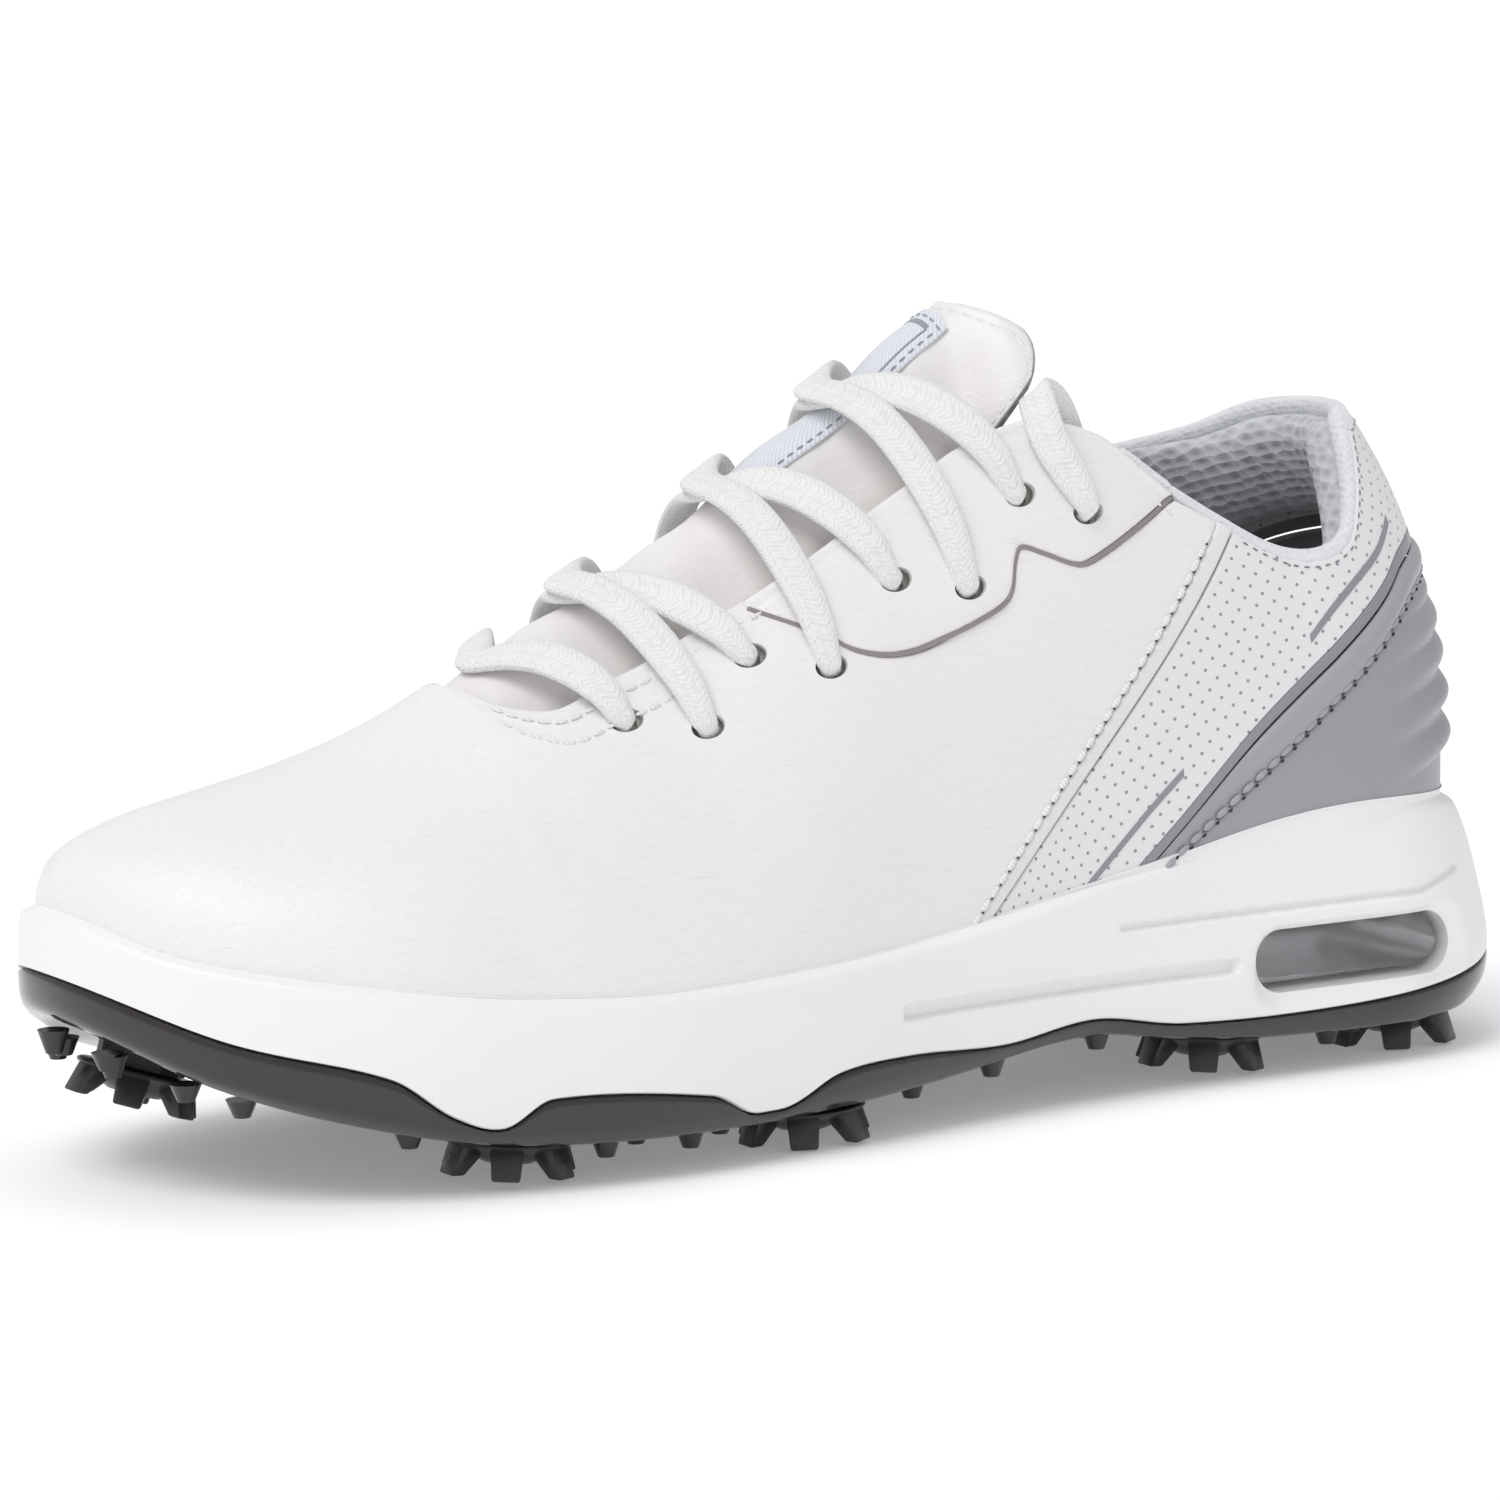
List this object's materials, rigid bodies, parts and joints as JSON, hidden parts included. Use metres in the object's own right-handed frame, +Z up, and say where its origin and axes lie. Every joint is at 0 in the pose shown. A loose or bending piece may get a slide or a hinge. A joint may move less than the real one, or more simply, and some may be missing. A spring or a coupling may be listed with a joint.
{
  "type": "golf shoe",
  "caption": "Low-cut leather golf shoe for the left foot, with a padded collar, laced tongue, foam midsole with an air cushion, and screw-in cleats under a rubber outsole.",
  "frame": {"origin": "on the ground under the middle of the shoe: middle of the outside length and width, at the height of the cleat tips", "axes": "+Z up, -X towards the toe, -Y towards the outer (lateral) side of the left foot"},
  "size_m": [0.293, 0.1074, 0.1459],
  "materials": {
    "white_leather": "white full-grain leather, fine lengthwise wrinkles, satin",
    "perforated_leather": "cool white leather with small punched holes, satin",
    "moulded_grey_cover": "grey coated microfibre with moulded ribs, satin",
    "grey_trim": "grey coated leather trim, satin",
    "backing_tape": "woven tape, matt",
    "stiffener_board": "thermoformed board, matt",
    "insole_board": "fibre board, matt",
    "foam": "open-cell foam, matt",
    "mesh_lining": "grey mesh lining, matt",
    "collar_knit": "pale grey brushed knit, matt",
    "woven_label": "pale woven label, satin",
    "lace_polyester": "flat knitted polyester, matt",
    "aglet_plastic": "clear-white plastic tip, glossy",
    "sockliner_fabric": "brushed fabric on foam, matt",
    "shank_nylon": "glass-filled nylon, satin",
    "air_bag": "clear polyurethane film, glossy",
    "midsole_foam": "moulded foam with a fine skin, matt",
    "outsole_rubber": "brown-black rubber, glossy",
    "cleat_polyurethane": "dark moulded polyurethane, satin",
    "socket_nylon": "black nylon, satin"
  },
  "bodies": {
    "shoe": {"aglet_lateral": "aglet_plastic", "aglet_medial": "aglet_plastic", "air_cushion": "air_bag", "cleat_socket_ball_lateral": "socket_nylon", "cleat_socket_ball_medial": "socket_nylon", "cleat_socket_heel_front_lateral": "socket_nylon", "cleat_socket_heel_front_medial": "socket_nylon", "cleat_socket_heel_rear_lateral": "socket_nylon", "cleat_socket_heel_rear_medial": "socket_nylon", "cleat_socket_toe_medial": "socket_nylon", "cleat_socket_waist_lateral": "socket_nylon", "collar_padding": "collar_knit", "eyelet_strip_lateral": "backing_tape", "eyelet_strip_medial": "backing_tape", "eyestay_lateral": "white_leather", "eyestay_medial": "white_leather", "foam_backing_lateral": "foam", "foam_backing_medial": "foam", "heel_band": "grey_trim", "heel_counter_cover": "moulded_grey_cover", "heel_piping": "grey_trim", "heel_stiffener": "stiffener_board", "insole_board": "insole_board", "lace": "lace_polyester", "midsole": "midsole_foam", "outsole": "outsole_rubber", "quarter_lateral": "perforated_leather", "quarter_lining": "mesh_lining", "quarter_medial": "perforated_leather", "seam_strip_lateral": "white_leather", "seam_strip_medial": "white_leather", "shank": "shank_nylon", "sockliner": "sockliner_fabric", "toe_puff": "stiffener_board", "vamp": "white_leather", "vamp_lining": "mesh_lining"},
    "tongue": {"tongue_leather": "white_leather", "tongue_foam": "foam", "tongue_lining": "mesh_lining", "tongue_label": "woven_label"},
    "cleat_toe_medial": {"cleat_toe_medial": "cleat_polyurethane"},
    "cleat_ball_lateral": {"cleat_ball_lateral": "cleat_polyurethane"},
    "cleat_ball_medial": {"cleat_ball_medial": "cleat_polyurethane"},
    "cleat_waist_lateral": {"cleat_waist_lateral": "cleat_polyurethane"},
    "cleat_heel_front_lateral": {"cleat_heel_front_lateral": "cleat_polyurethane"},
    "cleat_heel_front_medial": {"cleat_heel_front_medial": "cleat_polyurethane"},
    "cleat_heel_rear_lateral": {"cleat_heel_rear_lateral": "cleat_polyurethane"},
    "cleat_heel_rear_medial": {"cleat_heel_rear_medial": "cleat_polyurethane"}
  },
  "joints": [
    {"name": "tongue_bend", "type": "hinge", "parent": "shoe", "child": "tongue", "pos_m": [-0.0598, 0, 0.083], "axis": [0, 1, 0], "range_deg": [0, 2.5], "stiffness_Nm_per_rad": 0.6},
    {"name": "cleat_toe_medial_turn", "type": "hinge", "parent": "shoe", "child": "cleat_toe_medial", "pos_m": [-0.12275, 0.018, 0.01709], "axis": [0.3097, 0, 0.9508], "range_deg": [0, 90]},
    {"name": "cleat_ball_lateral_turn", "type": "hinge", "parent": "shoe", "child": "cleat_ball_lateral", "pos_m": [-0.07575, -0.033, 0.00788], "axis": [0.0723, 0, 0.9974], "range_deg": [0, 90]},
    {"name": "cleat_ball_medial_turn", "type": "hinge", "parent": "shoe", "child": "cleat_ball_medial", "pos_m": [-0.06575, 0.034, 0.00736], "axis": [0.0377, 0, 0.9993], "range_deg": [0, 90]},
    {"name": "cleat_waist_lateral_turn", "type": "hinge", "parent": "shoe", "child": "cleat_waist_lateral", "pos_m": [-0.01675, -0.034, 0.00717], "axis": [-0.0338, 0, 0.9994], "range_deg": [0, 90]},
    {"name": "cleat_heel_front_lateral_turn", "type": "hinge", "parent": "shoe", "child": "cleat_heel_front_lateral", "pos_m": [0.07725, -0.021, 0.0078], "axis": [0.0784, 0, 0.9969], "range_deg": [0, 90]},
    {"name": "cleat_heel_front_medial_turn", "type": "hinge", "parent": "shoe", "child": "cleat_heel_front_medial", "pos_m": [0.07925, 0.021, 0.00765], "axis": [0.0655, 0, 0.9979], "range_deg": [0, 90]},
    {"name": "cleat_heel_rear_lateral_turn", "type": "hinge", "parent": "shoe", "child": "cleat_heel_rear_lateral", "pos_m": [0.12225, -0.018, 0.00707], "axis": [-0.0216, 0, 0.9998], "range_deg": [0, 90]},
    {"name": "cleat_heel_rear_medial_turn", "type": "hinge", "parent": "shoe", "child": "cleat_heel_rear_medial", "pos_m": [0.12225, 0.018, 0.00707], "axis": [-0.0216, 0, 0.9998], "range_deg": [0, 90]}
  ]
}
